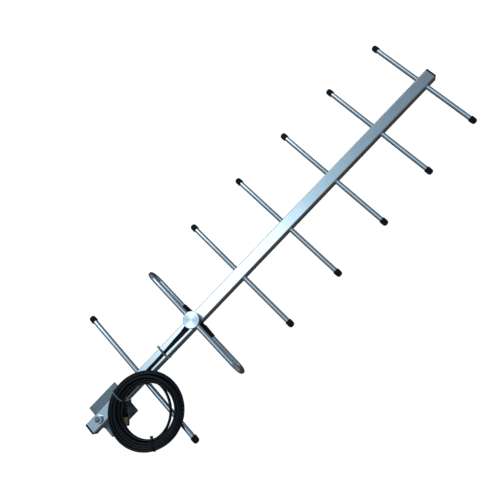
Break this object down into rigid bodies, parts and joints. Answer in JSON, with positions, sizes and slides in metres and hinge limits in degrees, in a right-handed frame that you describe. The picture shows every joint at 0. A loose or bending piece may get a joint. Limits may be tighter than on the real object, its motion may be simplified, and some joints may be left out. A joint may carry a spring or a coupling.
{
  "type": "yagi antenna",
  "caption": "Small band yagi antenna: square boom, capped rod elements, folded dipole, coiled coaxial pigtail with a threaded connector, and a U-bolt mast clamp.",
  "frame": {"origin": "middle of the mast clamp, on the mast's axis", "axes": "+X forward along the boom, +Y along the mast and the elements to the left, +Z from the mast towards the boom"},
  "size_m": [0.492, 0.168, 0.0563],
  "materials": {
    "boom": "satin",
    "rod_aluminium": "satin",
    "turned_aluminium": "satin",
    "plate": "satin",
    "zinc_steel": "satin",
    "black_plastic": "matte",
    "black_rubber": "matte",
    "cable_jacket": "satin",
    "core_plastic": "matte",
    "grey_tie": "gloss",
    "clear_tie": "gloss",
    "white_plastic": "matte",
    "black_nickel": "gloss",
    "gold_brass": "gloss"
  },
  "bodies": {
    "antenna": {"boom_tube": "boom", "front_plug": "black_plastic", "rear_plug": "black_plastic", "reflector_rod": "rod_aluminium", "reflector_cap_left": "black_plastic", "reflector_cap_right": "black_plastic", "director_1_rod": "rod_aluminium", "director_2_rod": "rod_aluminium", "director_3_rod": "rod_aluminium", "director_4_rod": "rod_aluminium", "director_5_rod": "rod_aluminium", "director_1_cap_left": "black_plastic", "director_2_cap_left": "black_plastic", "director_3_cap_left": "black_plastic", "director_4_cap_left": "black_plastic", "director_5_cap_left": "black_plastic", "director_1_cap_right": "black_plastic", "director_2_cap_right": "black_plastic", "director_3_cap_right": "black_plastic", "director_4_cap_right": "black_plastic", "director_5_cap_right": "black_plastic", "element_screws": "zinc_steel", "folded_dipole": "rod_aluminium", "feed_insulator": "black_plastic", "sleeve_left": "black_rubber", "sleeve_right": "black_rubber", "terminal_screws": "zinc_steel", "feed_post": "turned_aluminium", "post_screw": "zinc_steel", "feed_core": "core_plastic", "cable_boot": "black_rubber", "coax_run": "cable_jacket", "coax_coil": "cable_jacket", "coax_tail": "cable_jacket", "boom_tie": "grey_tie", "coil_tie": "clear_tie", "bundle_tie": "black_plastic", "connector_ferrule": "black_rubber", "connector_body": "black_nickel", "connector_insulator": "white_plastic", "connector_pin": "gold_brass", "mast_bracket": "plate", "mast_saddle": "plate"},
    "u_bolt": {"u_bolt": "zinc_steel"},
    "nut_front": {"clamp_nut_front": "zinc_steel"},
    "nut_rear": {"clamp_nut_rear": "zinc_steel"},
    "coupling": {"coupling_nut": "gold_brass"}
  },
  "joints": [
    {"name": "u_bolt_slide", "type": "slide", "parent": "antenna", "child": "u_bolt", "axis": [0, 0, -1], "range_m": [0, 0.003]},
    {"name": "nut_front_spin", "type": "hinge", "parent": "antenna", "child": "nut_front", "pos_m": [0.0125, 0, 0.0261], "axis": [0, 0, 1], "range_deg": [0, 1351]},
    {"name": "nut_rear_spin", "type": "hinge", "parent": "antenna", "child": "nut_rear", "pos_m": [-0.0125, 0, 0.0261], "axis": [0, 0, 1], "range_deg": [0, 1351]},
    {"name": "coupling_nut_spin", "type": "hinge", "parent": "antenna", "child": "coupling", "pos_m": [0.0053, -0.02, 0.0244], "axis": [-0.682, -0.7314, 0], "continuous": true}
  ],
  "couplings": [
    {"joint": "nut_front_spin", "follows": "u_bolt_slide", "rad_per_m": 7854},
    {"joint": "nut_rear_spin", "follows": "u_bolt_slide", "rad_per_m": 7854}
  ]
}
